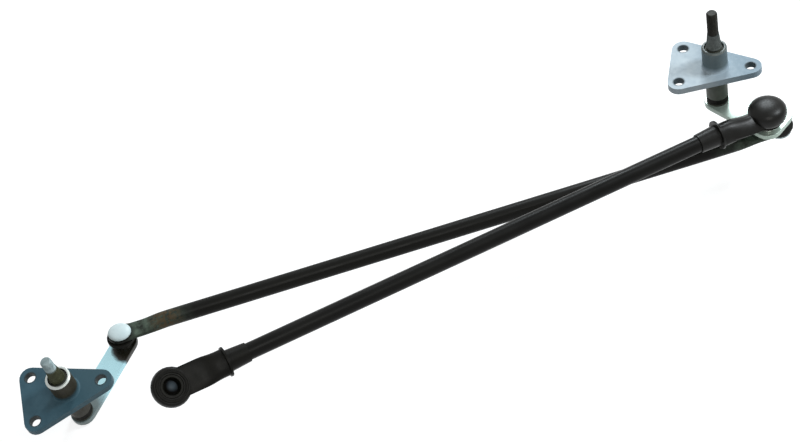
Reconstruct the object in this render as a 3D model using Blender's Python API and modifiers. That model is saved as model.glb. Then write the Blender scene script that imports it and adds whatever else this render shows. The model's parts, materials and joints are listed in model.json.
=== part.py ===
"""Windscreen wiper linkage: two flanged pivots with their levers, a link rod and a drive rod.

Metres, +Z up. The origin is on the right spindle, level with the upper face of the right flange, and
the link rod lies along X.
"""

import math

import bmesh
import bpy
from mathutils import Matrix, Vector

# Clearances
SEAT_GAP = 0.0003
RUNNING_GAP = 0.0003

# Pivot casting: flange, boss above it, tube below it
FLANGE_THICKNESS = 0.0050
FLANGE_CORNER_RADIUS = 0.0080
FLANGE_EDGE_ROUND = 0.0006
BOLT_HOLE_RADIUS = 0.0038
BOLT_BASE_SPACING = 0.0350
BOLT_APEX_HEIGHT = 0.0495
SPINDLE_TO_BOLT_BASE = 0.0245
BOSS_RADIUS = 0.0091
BOSS_HEIGHT = 0.0180
BOSS_CHAMFER = 0.0010
BOSS_FILLET = 0.0028
TUBE_RADIUS = 0.00785
TUBE_LENGTH = 0.0273
TUBE_FILLET = 0.0015
RECESS_DEPTH = 0.0032
RECESS_WALL = 0.0019

# Bushes, seals, washers and circlip
SHAFT_RADIUS = 0.0052
BUSH_WALL = 0.0010
BUSH_LENGTH = 0.0130
SEAL_RING_THICKNESS = 0.0011
LOWER_SEAL_HEIGHT = 0.0037
THRUST_WASHER_THICKNESS = 0.0013
TOP_WASHER_THICKNESS = 0.0010
CIRCLIP_THICKNESS = 0.0010
CIRCLIP_GROOVE_DEPTH = 0.0008
CIRCLIP_WIDTH = 0.0017
CIRCLIP_OPENING = math.radians(46)

# Spindle ends
CONE_LENGTH = 0.0122
CONE_BASE_RADIUS = 0.0055
CONE_TOP_RADIUS = 0.00425
CONE_STANDOFF = 0.0006
THREAD_RADIUS = 0.0040
THREAD_CHAMFER = 0.0008
RIGHT_THREAD_LENGTH = 0.0190
LEFT_THREAD_LENGTH = 0.0105
SPINDLE_SHANK_RADIUS = 0.0042
SPINDLE_HEAD_RADIUS = 0.0060
HEAD_HEIGHT = 0.0014
HEAD_CHAMFER = 0.0008

# Levers
LEVER_THICKNESS = 0.0037
LEVER_EDGE_ROUND = 0.0004
RIGHT_LEVER_END_RADIUS = 0.0097
LEFT_LEVER_END_RADIUS = 0.0090
RIGHT_LEVER_LENGTH = 0.0472
LEFT_LEVER_LENGTH = 0.0588
DRIVE_STUD_ANGLE = math.radians(-62.0)
LINK_STUD_ANGLE = math.radians(-44.3)

# Ball studs
DRIVE_BALL_RADIUS = 0.0060
DRIVE_STUD_HEIGHT = 0.01445
DRIVE_NECK_RADIUS = 0.0032
DRIVE_COLLAR_RADIUS = 0.0062
DRIVE_SHANK_RADIUS = 0.0036
DRIVE_HEAD_RADIUS = 0.0049
LINK_BALL_RADIUS = 0.0048
LINK_STUD_HEIGHT = 0.0088
LINK_NECK_RADIUS = 0.0028
LINK_COLLAR_RADIUS = 0.0054
LINK_SHANK_RADIUS = 0.0033
LINK_HEAD_RADIUS = 0.0046
COLLAR_HEIGHT = 0.0014

# Drive rod: tube and moulded sockets
DRIVE_ROD_LENGTH = 0.4672
DRIVE_ROD_ANGLE = math.radians(190.3)
DRIVE_TUBE_RADIUS = 0.0060
DRIVE_TUBE_WALL = 0.0012
DOME_RADIUS = 0.0140
DOME_HEIGHT = 0.0076
DOME_EQUATOR = 0.0005
DOME_SQUARENESS = 2.4
MOUTH_RADIUS = 0.0120
MOUTH_DEPTH = 0.0050
NECK_ROOT_START = 0.0040
NECK_ROOT_HALF_WIDTH = 0.0104
NECK_ROOT_LEVEL = -0.0043
NECK_ROOT_TOP = 0.0030
NECK_ROOT_BOTTOM = -0.0048
NECK_ROOT_ARCH = 0.45
NECK_END_HALF_WIDTH = 0.0095
NECK_END_LEVEL = -0.0015
NECK_END_WALL = 0.0010
NECK_END_ARCH = 0.30
NECK_SQUARENESS = 2.6
NECK_RISE_START = 0.0120
NECK_BLEND_START = 0.0230
NECK_BLEND_END = 0.0350
COLLAR_POSITION = 0.0410
SOCKET_COLLAR_RADIUS = 0.0107
SOCKET_COLLAR_THICKNESS = 0.0015
SLEEVE_LENGTH = 0.0160
SLEEVE_START_WALL = 0.0015
SLEEVE_END_WALL = 0.0006
LINER_WALL = 0.0017
LINER_CROWN = 0.0040
GROOVE_INNER_RADIUS = 0.0092
GROOVE_OUTER_RADIUS = 0.0112
GROOVE_DEPTH = 0.0015
SEAL_PROUD = 0.0007
SOCKET_TWIST = math.radians(40.0)
BOOT_WALL = 0.0011

# Link rod: tube with pressed ends, and its plastic ball sockets
LINK_ROD_LENGTH = 0.4931
LINK_TUBE_RADIUS = 0.0060
EYE_RADIUS = 0.0088
FLAT_HALF_WIDTH = 0.0072
FLAT_HALF_THICKNESS = 0.0016
FLAT_LENGTH = 0.0140
FLAT_TAPER_LENGTH = 0.0220
FLAT_SQUARENESS = 5.0
FLAT_OFFSET = 0.0015
LINK_BALL_DROP = 0.0011
LINK_SOCKET_WALL = 0.0016
LINK_SOCKET_SKIRT = 0.0034
CAP_RADIUS = 0.0083
CAP_HEIGHT = 0.0029
CAP_RIM = 0.0006
LINK_BOOT_RADIUS = 0.0099
LINK_BOOT_STRAIGHT = 0.0023
LINK_BOOT_LIP_RADIUS = 0.0066
LINK_BOOT_LIP_WALL = 0.0012
LINK_BOOT_LIP_REACH = 0.0050

# How the loose left pivot hangs on its ball joint
LEFT_TILT_ABOUT_X = math.radians(10.65)
LEFT_TILT_ABOUT_Y = math.radians(-10.26)
LEFT_LEVER_ANGLE = math.radians(223.7)
LEFT_FLANGE_ANGLE = math.radians(-7.9)
RIGHT_FLANGE_ANGLE = math.radians(-25.6)

# Facets
ROUND_STEPS = 28
SMALL_STEPS = 20
ARC_STEPS = 4
CUT_PAST = 0.0010

# Sizes that follow
LOWER_SEAL_TOP = -TUBE_LENGTH - SEAT_GAP
LOWER_SEAL_BOTTOM = LOWER_SEAL_TOP - LOWER_SEAL_HEIGHT
THRUST_WASHER_TOP = LOWER_SEAL_BOTTOM - SEAT_GAP
THRUST_WASHER_BOTTOM = THRUST_WASHER_TOP - THRUST_WASHER_THICKNESS
LEVER_TOP = THRUST_WASHER_BOTTOM - SEAT_GAP
LEVER_BOTTOM = LEVER_TOP - LEVER_THICKNESS
BUSH_INNER_RADIUS = SHAFT_RADIUS + RUNNING_GAP
BUSH_OUTER_RADIUS = BUSH_INNER_RADIUS + BUSH_WALL
BORE_RADIUS = BUSH_OUTER_RADIUS + SEAT_GAP
RECESS_RADIUS = BOSS_RADIUS - RECESS_WALL
RECESS_FLOOR = BOSS_HEIGHT - RECESS_DEPTH
TOP_WASHER_BOTTOM = RECESS_FLOOR + SEAT_GAP
CIRCLIP_BOTTOM = TOP_WASHER_BOTTOM + TOP_WASHER_THICKNESS + SEAT_GAP
CIRCLIP_TOP = CIRCLIP_BOTTOM + CIRCLIP_THICKNESS
GROOVE_RADIUS = SHAFT_RADIUS - CIRCLIP_GROOVE_DEPTH
SEAL_RING_CENTRE = RECESS_FLOOR - SEAT_GAP - SEAL_RING_THICKNESS / 2
UPPER_BUSH_TOP = SEAL_RING_CENTRE - SEAL_RING_THICKNESS / 2 - SEAT_GAP
DRIVE_CAVITY_RADIUS = DRIVE_BALL_RADIUS + RUNNING_GAP
LINER_RADIUS = DRIVE_CAVITY_RADIUS + LINER_WALL
TUBE_BORE_RADIUS = DRIVE_TUBE_RADIUS + SEAT_GAP
NECK_END_RISE = TUBE_BORE_RADIUS + NECK_END_WALL
SOCKET_LENGTH = COLLAR_POSITION + SLEEVE_LENGTH
LINK_CAVITY_RADIUS = LINK_BALL_RADIUS + RUNNING_GAP
LINK_SOCKET_RADIUS = LINK_CAVITY_RADIUS + LINK_SOCKET_WALL

FINISHES = {
    "cast aluminium": ((0.52, 0.56, 0.60), 0.55, 0.4),
    "zinc": ((0.70, 0.76, 0.80), 0.30, 0.9),
    "steel": ((0.50, 0.50, 0.48), 0.35, 0.9),
    "dark steel": ((0.12, 0.11, 0.10), 0.50, 0.7),
    "black paint": ((0.030, 0.030, 0.028), 0.38, 0.0),
    "black plastic": ((0.024, 0.024, 0.026), 0.45, 0.0),
    "rubber": ((0.018, 0.018, 0.018), 0.75, 0.0),
    "white plastic": ((0.80, 0.83, 0.83), 0.40, 0.0),
    "bronze": ((0.45, 0.33, 0.18), 0.45, 0.9),
}


def clear_scene():
    for obj in list(bpy.data.objects):
        bpy.data.objects.remove(obj, do_unlink=True)


def new_collection(name):
    collection = bpy.data.collections.new(name)
    bpy.context.scene.collection.children.link(collection)
    return collection


def add_object(name, mesh):
    obj = bpy.data.objects.new(name, mesh)
    PARTS.objects.link(obj)
    return obj


def smooth(obj, angle=math.radians(35)):
    obj.data.shade_smooth()
    obj.data.set_sharp_from_angle(angle=angle)


def finish(obj, kind):
    colour, roughness, metallic = FINISHES[kind]
    material = bpy.data.materials.new(f"{obj.name} {kind}")
    material.use_nodes = True
    shader = material.node_tree.nodes["Principled BSDF"]
    shader.inputs["Base Color"].default_value = (*colour, 1.0)
    shader.inputs["Roughness"].default_value = roughness
    shader.inputs["Metallic"].default_value = metallic
    obj.data.materials.append(material)
    return obj


def turned(name, profile, closed=False, steps=SMALL_STEPS):
    """Solid turned about Z from a profile of (radius, height) that runs down its outer side."""
    count = len(profile)
    edges = [(i, i + 1) for i in range(count - 1)]
    if closed:
        edges.append((count - 1, 0))
    mesh = bpy.data.meshes.new(name)
    mesh.from_pydata([(radius, 0.0, height) for radius, height in profile], edges, [])
    obj = add_object(name, mesh)
    screw = obj.modifiers.new("Turn", "SCREW")
    screw.axis = "Z"
    screw.angle = math.tau
    screw.steps = steps
    screw.render_steps = steps
    screw.use_merge_vertices = True
    screw.merge_threshold = 0.00001
    screw.use_smooth_shade = True
    return obj


def ring(name, inner, outer, bottom, top, steps=SMALL_STEPS):
    """Plain washer, bush or tube about Z."""
    profile = [(outer, top), (outer, bottom), (inner, bottom), (inner, top)]
    return turned(name, profile, closed=True, steps=steps)


def arc(centre, radius, start, end, steps):
    """Points of an arc in a profile, angles measured from +radius towards +height."""
    angles = [start + (end - start) * i / steps for i in range(steps + 1)]
    return [(centre[0] + radius * math.cos(a), centre[1] + radius * math.sin(a)) for a in angles]


def hull_outline(circles):
    """Outline that wraps circles (x, y, radius), given anticlockwise, with straight tangents."""
    normals = []
    for (x1, y1, r1), (x2, y2, r2) in zip(circles, circles[1:] + circles[:1]):
        way = math.atan2(y2 - y1, x2 - x1)
        normals.append(way - math.acos((r1 - r2) / math.hypot(x2 - x1, y2 - y1)))
    points = []
    for i, (x, y, radius) in enumerate(circles):
        start = normals[i - 1]
        turn = (normals[i] - start) % math.tau
        steps = max(2, round(turn / math.tau * SMALL_STEPS))
        points += arc((x, y), radius, start, start + turn, steps)
    return points


def circle_outline(x, y, radius, steps=SMALL_STEPS):
    return arc((x, y), radius, 0.0, math.tau * (steps - 1) / steps, steps - 1)


def plate(name, outlines, thickness, top, edge_round=0.0):
    """Flat plate from a 2D curve: the first outline is its edge, the others are holes."""
    curve = bpy.data.curves.new(name, "CURVE")
    curve.dimensions = "2D"
    curve.fill_mode = "BOTH"
    curve.extrude = thickness / 2
    for outline in outlines:
        spline = curve.splines.new("POLY")
        spline.points.add(len(outline) - 1)
        for point, (x, y) in zip(spline.points, outline):
            point.co = (x, y, 0.0, 1.0)
        spline.use_cyclic_u = True
    guide = bpy.data.objects.new(name, curve)
    PARTS.objects.link(guide)
    evaluated = guide.evaluated_get(bpy.context.evaluated_depsgraph_get())
    mesh = bpy.data.meshes.new_from_object(evaluated)
    bpy.data.objects.remove(guide, do_unlink=True)
    mesh.transform(Matrix.Translation((0.0, 0.0, top - thickness / 2)))
    shape = bmesh.new()
    shape.from_mesh(mesh)
    bmesh.ops.remove_doubles(shape, verts=shape.verts, dist=0.00001)
    bmesh.ops.recalc_face_normals(shape, faces=shape.faces)
    shape.to_mesh(mesh)
    shape.free()
    obj = add_object(name, mesh)
    if edge_round:
        bevel = obj.modifiers.new("Edge", "BEVEL")
        bevel.width = edge_round
        bevel.segments = 1
        bevel.limit_method = "ANGLE"
        bevel.angle_limit = math.radians(60)
    return obj


def loft(name, sections):
    """Solid through rings of equal length, each a list of points, with flat ends."""
    shape = bmesh.new()
    rings = [[shape.verts.new(point) for point in section] for section in sections]
    count = len(rings[0])
    for near, far in zip(rings, rings[1:]):
        for i in range(count):
            j = (i + 1) % count
            shape.faces.new((near[i], near[j], far[j], far[i]))
    shape.faces.new(list(reversed(rings[0])))
    shape.faces.new(rings[-1])
    bmesh.ops.recalc_face_normals(shape, faces=shape.faces)
    mesh = bpy.data.meshes.new(name)
    shape.to_mesh(mesh)
    shape.free()
    obj = add_object(name, mesh)
    smooth(obj)
    return obj


def oval(x, half_width, half_height, squareness=2.0, rise=0.0, steps=SMALL_STEPS):
    """Ring across X at x, from a circle (squareness 2) to a flat bar with round edges."""
    points = []
    for i in range(steps):
        angle = math.tau * i / steps
        c, s = math.cos(angle), math.sin(angle)
        across = math.copysign(abs(c) ** (2 / squareness), c) * half_width
        up = math.copysign(abs(s) ** (2 / squareness), s) * half_height
        points.append(Vector((x, across, rise + up)))
    return points


def cylinder(name, radius, start, end, steps=SMALL_STEPS):
    """Primitive cylinder along Z between two heights."""
    shape = bmesh.new()
    middle = Matrix.Translation((0.0, 0.0, (start + end) / 2))
    bmesh.ops.create_cone(
        shape,
        cap_ends=True,
        segments=steps,
        radius1=radius,
        radius2=radius,
        depth=abs(end - start),
        matrix=middle,
    )
    mesh = bpy.data.meshes.new(name)
    shape.to_mesh(mesh)
    shape.free()
    return add_object(name, mesh)


def combine(obj, tool, operation):
    """Boolean that keeps the tool beside the parts, hidden."""
    PARTS.objects.unlink(tool)
    CUTTERS.objects.link(tool)
    tool.hide_render = True
    tool.display_type = "WIRE"
    tool.parent = obj
    modifier = obj.modifiers.new(operation.title(), "BOOLEAN")
    modifier.operation = operation
    modifier.solver = "EXACT"
    modifier.object = tool
    return obj


def frame(name, local, parent=None):
    """Empty on a joint's axis that carries the pieces of one moving body."""
    empty = bpy.data.objects.new(name, None)
    PARTS.objects.link(empty)
    empty.empty_display_size = 0.02
    empty.parent = parent
    empty.matrix_basis = local
    return empty


def seat(obj, carrier, local=None):
    obj.parent = carrier
    obj.matrix_basis = local or Matrix()
    return obj


def pivot_housing(name):
    base_x = -SPINDLE_TO_BOLT_BASE
    bolts = [
        (base_x, -BOLT_BASE_SPACING / 2),
        (base_x + BOLT_APEX_HEIGHT, 0.0),
        (base_x, BOLT_BASE_SPACING / 2),
    ]
    edge = hull_outline([(x, y, FLANGE_CORNER_RADIUS) for x, y in bolts])
    holes = [circle_outline(x, y, BOLT_HOLE_RADIUS) for x, y in bolts]
    housing = plate(name, [edge, *holes], FLANGE_THICKNESS, 0.0, FLANGE_EDGE_ROUND)
    sunk = FLANGE_THICKNESS / 10
    upper = arc(
        (BOSS_RADIUS + BOSS_FILLET, BOSS_FILLET - sunk), BOSS_FILLET, math.pi, math.pi * 1.5, ARC_STEPS
    )
    under = -FLANGE_THICKNESS
    lower = arc(
        (TUBE_RADIUS + TUBE_FILLET, under - TUBE_FILLET + sunk), TUBE_FILLET, math.pi / 2, math.pi, ARC_STEPS
    )
    profile = [
        (0.0, BOSS_HEIGHT),
        (BOSS_RADIUS - BOSS_CHAMFER, BOSS_HEIGHT),
        (BOSS_RADIUS, BOSS_HEIGHT - BOSS_CHAMFER),
        *upper,
        *lower,
        (TUBE_RADIUS, -TUBE_LENGTH),
        (0.0, -TUBE_LENGTH),
    ]
    combine(housing, turned(f"{name}.boss", profile, steps=ROUND_STEPS), "UNION")
    bore = [
        (0.0, BOSS_HEIGHT + CUT_PAST),
        (RECESS_RADIUS, BOSS_HEIGHT + CUT_PAST),
        (RECESS_RADIUS, RECESS_FLOOR),
        (BORE_RADIUS, RECESS_FLOOR),
        (BORE_RADIUS, -TUBE_LENGTH - CUT_PAST),
        (0.0, -TUBE_LENGTH - CUT_PAST),
    ]
    combine(housing, turned(f"{name}.bore", bore, steps=ROUND_STEPS), "DIFFERENCE")
    return finish(housing, "cast aluminium")


def housing_pieces(side, carrier):
    seat(pivot_housing(f"{side}_pivot_housing"), carrier)
    upper = ring(
        f"{side}_upper_bush",
        BUSH_INNER_RADIUS,
        BUSH_OUTER_RADIUS,
        UPPER_BUSH_TOP - BUSH_LENGTH,
        UPPER_BUSH_TOP,
    )
    seat(finish(upper, "bronze"), carrier)
    lower = ring(
        f"{side}_lower_bush", BUSH_INNER_RADIUS, BUSH_OUTER_RADIUS, -TUBE_LENGTH, -TUBE_LENGTH + BUSH_LENGTH
    )
    seat(finish(lower, "bronze"), carrier)
    seal_radius = (SHAFT_RADIUS + BORE_RADIUS) / 2
    round_section = arc((seal_radius, SEAL_RING_CENTRE), SEAL_RING_THICKNESS / 2, math.pi, -math.pi * 0.75, 7)
    seat(finish(turned(f"{side}_seal_ring", round_section, closed=True), "rubber"), carrier)
    lower_seal = ring(f"{side}_lower_seal", BUSH_INNER_RADIUS, TUBE_RADIUS, LOWER_SEAL_BOTTOM, LOWER_SEAL_TOP)
    seat(finish(lower_seal, "rubber"), carrier)


def spindle(name, thread_length):
    cone_base = BOSS_HEIGHT + CONE_STANDOFF
    cone_top = cone_base + CONE_LENGTH
    tip = cone_top + thread_length
    head_top = LEVER_BOTTOM - SEAT_GAP
    profile = [
        (0.0, tip),
        (THREAD_RADIUS - THREAD_CHAMFER, tip),
        (THREAD_RADIUS, tip - THREAD_CHAMFER),
        (THREAD_RADIUS, cone_top),
        (CONE_TOP_RADIUS, cone_top),
        (CONE_BASE_RADIUS, cone_base),
        (SHAFT_RADIUS, cone_base),
        (SHAFT_RADIUS, CIRCLIP_TOP + SEAT_GAP),
        (GROOVE_RADIUS, CIRCLIP_TOP + SEAT_GAP),
        (GROOVE_RADIUS, CIRCLIP_BOTTOM - SEAT_GAP),
        (SHAFT_RADIUS, CIRCLIP_BOTTOM - SEAT_GAP),
        (SHAFT_RADIUS, LEVER_TOP + SEAT_GAP),
        (SPINDLE_SHANK_RADIUS, LEVER_TOP + SEAT_GAP),
        (SPINDLE_SHANK_RADIUS, head_top),
        (SPINDLE_HEAD_RADIUS, head_top),
        (SPINDLE_HEAD_RADIUS, head_top - HEAD_HEIGHT + HEAD_CHAMFER),
        (SPINDLE_HEAD_RADIUS - HEAD_CHAMFER, head_top - HEAD_HEIGHT),
        (0.0, head_top - HEAD_HEIGHT),
    ]
    return turned(name, profile)


def circlip(name):
    inner = GROOVE_RADIUS + SEAT_GAP
    half = CIRCLIP_OPENING / 2
    outer_arc = arc((0.0, 0.0), inner + CIRCLIP_WIDTH, half, math.tau - half, SMALL_STEPS)
    inner_arc = arc((0.0, 0.0), inner, math.tau - half, half, SMALL_STEPS)
    return plate(name, [outer_arc + inner_arc], CIRCLIP_THICKNESS, CIRCLIP_TOP)


def spindle_pieces(side, thread_length, kind, carrier, local):
    seat(finish(spindle(f"{side}_spindle", thread_length), kind), carrier, local)
    washer = ring(
        f"{side}_top_washer",
        BUSH_INNER_RADIUS,
        RECESS_RADIUS - SEAT_GAP,
        TOP_WASHER_BOTTOM,
        TOP_WASHER_BOTTOM + TOP_WASHER_THICKNESS,
    )
    seat(finish(washer, "steel"), carrier, local)
    seat(finish(circlip(f"{side}_circlip"), "steel"), carrier, local)
    thrust = ring(
        f"{side}_thrust_washer", BUSH_INNER_RADIUS, TUBE_RADIUS, THRUST_WASHER_BOTTOM, THRUST_WASHER_TOP
    )
    seat(finish(thrust, "steel"), carrier, local)


def lever(name, ends, holes, top):
    """Lever plate round its ends (x, y, radius), with holes (x, y, radius) for the spindle and studs."""
    outlines = [hull_outline(ends), *[circle_outline(*hole) for hole in holes]]
    return finish(plate(name, outlines, LEVER_THICKNESS, top, LEVER_EDGE_ROUND), "zinc")


def ball_stud(name, ball, height, neck, collar, shank, head):
    """Riveted ball stud with its ball centre at the origin and the lever's near face at -height."""
    neck_angle = -math.acos(neck / ball)
    collar_bottom = -height + SEAT_GAP
    head_top = -height - LEVER_THICKNESS - SEAT_GAP
    ball_arc = arc((0.0, 0.0), ball, math.pi / 2, neck_angle, 8)
    profile = [
        (0.0, ball),
        *ball_arc[1:],
        (neck, collar_bottom + COLLAR_HEIGHT),
        (collar, collar_bottom + COLLAR_HEIGHT),
        (collar, collar_bottom),
        (shank, collar_bottom),
        (shank, head_top),
        (head, head_top),
        (head, head_top - HEAD_HEIGHT + HEAD_CHAMFER),
        (head - HEAD_CHAMFER, head_top - HEAD_HEIGHT),
        (0.0, head_top - HEAD_HEIGHT),
    ]
    return finish(turned(name, profile), "steel")


def drive_stud(name):
    return ball_stud(
        name,
        DRIVE_BALL_RADIUS,
        DRIVE_STUD_HEIGHT,
        DRIVE_NECK_RADIUS,
        DRIVE_COLLAR_RADIUS,
        DRIVE_SHANK_RADIUS,
        DRIVE_HEAD_RADIUS,
    )


def link_stud(name):
    return ball_stud(
        name,
        LINK_BALL_RADIUS,
        LINK_STUD_HEIGHT,
        LINK_NECK_RADIUS,
        LINK_COLLAR_RADIUS,
        LINK_SHANK_RADIUS,
        LINK_HEAD_RADIUS,
    )


def blend(amount):
    """Smooth step from 0 to 1."""
    amount = min(max(amount, 0.0), 1.0)
    return amount * amount * (3 - 2 * amount)


def mix(start, end, amount):
    return start + (end - start) * amount


def arched(x, half_width, level, top, bottom, arch):
    """Ring across X at x: widest at a level, drawn in towards its top, squarer below."""
    points = []
    for i in range(SMALL_STEPS):
        angle = math.tau * i / SMALL_STEPS
        c, s = math.cos(angle), math.sin(angle)
        if s >= 0:
            across = half_width * c * (1 - arch * s)
            up = level + (top - level) * s
        else:
            across = math.copysign(abs(c) ** (2 / NECK_SQUARENESS), c) * half_width
            up = level + (bottom - level) * abs(s) ** (2 / NECK_SQUARENESS)
        points.append(Vector((x, across, up)))
    return points


def socket_neck(name):
    """Neck of a drive rod socket: low and flared under the dome, deeper where it holds the tube."""
    sections = []
    stations = [NECK_ROOT_START, NECK_RISE_START, mix(NECK_RISE_START, NECK_BLEND_START, 0.5)]
    stations += [mix(NECK_BLEND_START, NECK_BLEND_END, i / ARC_STEPS) for i in range(ARC_STEPS + 1)]
    stations.append(COLLAR_POSITION)
    for x in stations:
        amount = blend((x - NECK_BLEND_START) / (NECK_BLEND_END - NECK_BLEND_START))
        raised = blend((x - NECK_RISE_START) / (NECK_BLEND_END - NECK_RISE_START))
        half_width = mix(NECK_ROOT_HALF_WIDTH, NECK_END_HALF_WIDTH, amount)
        bottom = mix(NECK_ROOT_BOTTOM, -NECK_END_RISE, amount)
        level = mix(NECK_ROOT_LEVEL, NECK_END_LEVEL, raised)
        top = mix(NECK_ROOT_TOP, NECK_END_RISE, raised)
        arch = mix(NECK_ROOT_ARCH, NECK_END_ARCH, raised)
        sections.append(arched(x, half_width, level, top, bottom, arch))
    return loft(name, sections)


def drive_socket(name):
    """Moulded ball socket: ball centre at the origin, mouth facing -Z, neck along +X."""
    socket = socket_neck(name)
    dome = [(0.0, DOME_EQUATOR + DOME_HEIGHT)]
    for i in range(1, 8):
        angle = math.pi / 2 * (1 - i / 7)
        radius = DOME_RADIUS * math.cos(angle) ** (2 / DOME_SQUARENESS)
        dome.append((radius, DOME_EQUATOR + DOME_HEIGHT * math.sin(angle) ** (2 / DOME_SQUARENESS)))
    for i in range(1, ARC_STEPS):
        angle = math.pi / 2 * i / (ARC_STEPS - 1)
        radius = MOUTH_RADIUS + (DOME_RADIUS - MOUTH_RADIUS) * math.cos(angle)
        dome.append((radius, DOME_EQUATOR - (DOME_EQUATOR + MOUTH_DEPTH) * math.sin(angle)))
    dome += [(MOUTH_RADIUS, -MOUTH_DEPTH - CUT_PAST), (0.0, -MOUTH_DEPTH - CUT_PAST)]
    combine(socket, turned(f"{name}.dome", dome, steps=ROUND_STEPS), "UNION")
    room = LINER_RADIUS + SEAT_GAP
    crown = LINER_CROWN + SEAT_GAP
    past = DOME_RADIUS + CUT_PAST
    mouth = [
        (0.0, DRIVE_CAVITY_RADIUS + SEAT_GAP),
        (DRIVE_CAVITY_RADIUS * 0.55, DRIVE_CAVITY_RADIUS),
        (DRIVE_CAVITY_RADIUS, crown + SEAT_GAP),
        (room, crown),
        (room, -MOUTH_DEPTH),
        (GROOVE_INNER_RADIUS, -MOUTH_DEPTH),
        (GROOVE_INNER_RADIUS, -MOUTH_DEPTH + GROOVE_DEPTH),
        (GROOVE_OUTER_RADIUS, -MOUTH_DEPTH + GROOVE_DEPTH),
        (GROOVE_OUTER_RADIUS, -MOUTH_DEPTH),
        (past, -MOUTH_DEPTH),
        (past, -MOUTH_DEPTH - 2 * CUT_PAST),
        (0.0, -MOUTH_DEPTH - 2 * CUT_PAST),
    ]
    combine(socket, turned(f"{name}.mouth", mouth), "DIFFERENCE")
    along = Matrix.Rotation(math.pi / 2, 4, "Y")
    collar_start = COLLAR_POSITION - SOCKET_COLLAR_THICKNESS / 2
    collar_end = COLLAR_POSITION + SOCKET_COLLAR_THICKNESS / 2
    collar = [
        (0.0, SOCKET_LENGTH),
        (TUBE_BORE_RADIUS + SLEEVE_END_WALL, SOCKET_LENGTH),
        (TUBE_BORE_RADIUS + SLEEVE_START_WALL, collar_end),
        (SOCKET_COLLAR_RADIUS, collar_end),
        (SOCKET_COLLAR_RADIUS, collar_start),
        (0.0, collar_start),
    ]
    half_step = Matrix.Rotation(math.pi / SMALL_STEPS, 4, "Z")
    sleeve = turned(f"{name}.collar", collar)
    combine(socket, sleeve, "UNION")
    sleeve.matrix_basis = along @ half_step
    bore = cylinder(f"{name}.bore", TUBE_BORE_RADIUS, NECK_BLEND_END - SEAT_GAP, SOCKET_LENGTH + CUT_PAST)
    combine(socket, bore, "DIFFERENCE")
    bore.matrix_basis = along
    return finish(socket, "black plastic")


def socket_liner(name):
    """Bearing ring inside a drive rod socket, with a spherical bore and a flared mouth."""
    bottom = -MOUTH_DEPTH + SEAT_GAP
    top_angle = math.asin(LINER_CROWN / DRIVE_CAVITY_RADIUS)
    bore = arc((0.0, 0.0), DRIVE_CAVITY_RADIUS, math.asin(bottom * 0.68 / DRIVE_CAVITY_RADIUS), top_angle, 6)
    profile = [
        (LINER_RADIUS, LINER_CROWN),
        (LINER_RADIUS, bottom),
        (LINER_RADIUS - LINER_WALL, bottom),
        *bore,
    ]
    return finish(turned(name, profile, closed=True), "black plastic")


def drive_boot(name):
    """Dust boot from the groove in the socket's mouth to the neck of the stud, with one fold."""
    bead_inner = GROOVE_INNER_RADIUS + SEAT_GAP
    bead_outer = GROOVE_OUTER_RADIUS - SEAT_GAP
    bead_top = -MOUTH_DEPTH + GROOVE_DEPTH - SEAT_GAP
    rim = -MOUTH_DEPTH - SEAT_GAP
    foot = -DRIVE_STUD_HEIGHT + SEAT_GAP + COLLAR_HEIGHT + SEAT_GAP
    drop = rim - foot
    lip_inner = DRIVE_NECK_RADIUS + RUNNING_GAP
    lip_outer = lip_inner + 1.3 * BOOT_WALL
    fold = bead_outer - BOOT_WALL
    waist = mix(lip_outer, bead_outer, 0.45)
    profile = [
        (bead_outer, bead_top),
        (bead_outer, rim),
        (bead_outer + BOOT_WALL / 2, rim - 0.15 * drop),
        (fold - BOOT_WALL, rim - 0.40 * drop),
        (fold, rim - 0.55 * drop),
        (waist, rim - 0.80 * drop),
        (lip_outer, foot + BOOT_WALL),
        (lip_outer, foot),
        (lip_inner, foot),
        (lip_inner, foot + 1.6 * BOOT_WALL),
        (waist - BOOT_WALL, rim - 0.80 * drop + BOOT_WALL),
        (fold - BOOT_WALL, rim - 0.55 * drop + BOOT_WALL / 3),
        (fold - 2 * BOOT_WALL, rim - 0.40 * drop),
        (bead_inner, rim - 0.12 * drop),
        (bead_inner, bead_top),
    ]
    return finish(turned(name, profile, closed=True), "rubber")


def mouth_seal(name):
    seal = ring(
        name,
        GROOVE_INNER_RADIUS + SEAT_GAP,
        GROOVE_OUTER_RADIUS - SEAT_GAP,
        -MOUTH_DEPTH - SEAL_PROUD,
        -MOUTH_DEPTH + GROOVE_DEPTH - SEAT_GAP,
    )
    return finish(seal, "rubber")


def pressed_end():
    """Stations (x, half width, half height, squareness, offset) from the tip to the round tube."""
    flat = (FLAT_HALF_THICKNESS, FLAT_SQUARENESS, FLAT_OFFSET)
    stations = []
    for degrees in (14, 32, 50, 70, 90, 112):
        angle = math.radians(degrees)
        stations.append((-EYE_RADIUS * math.cos(angle), EYE_RADIUS * math.sin(angle), *flat))
    stations.append((EYE_RADIUS, FLAT_HALF_WIDTH, *flat))
    for i in range(7):
        amount = blend(i / 6)
        stations.append(
            (
                FLAT_LENGTH + FLAT_TAPER_LENGTH * i / 6,
                mix(FLAT_HALF_WIDTH, LINK_TUBE_RADIUS, amount),
                mix(FLAT_HALF_THICKNESS, LINK_TUBE_RADIUS, amount),
                mix(FLAT_SQUARENESS, 2.0, amount ** 0.5),
                mix(FLAT_OFFSET, 0.0, amount),
            )
        )
    return stations


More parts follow.
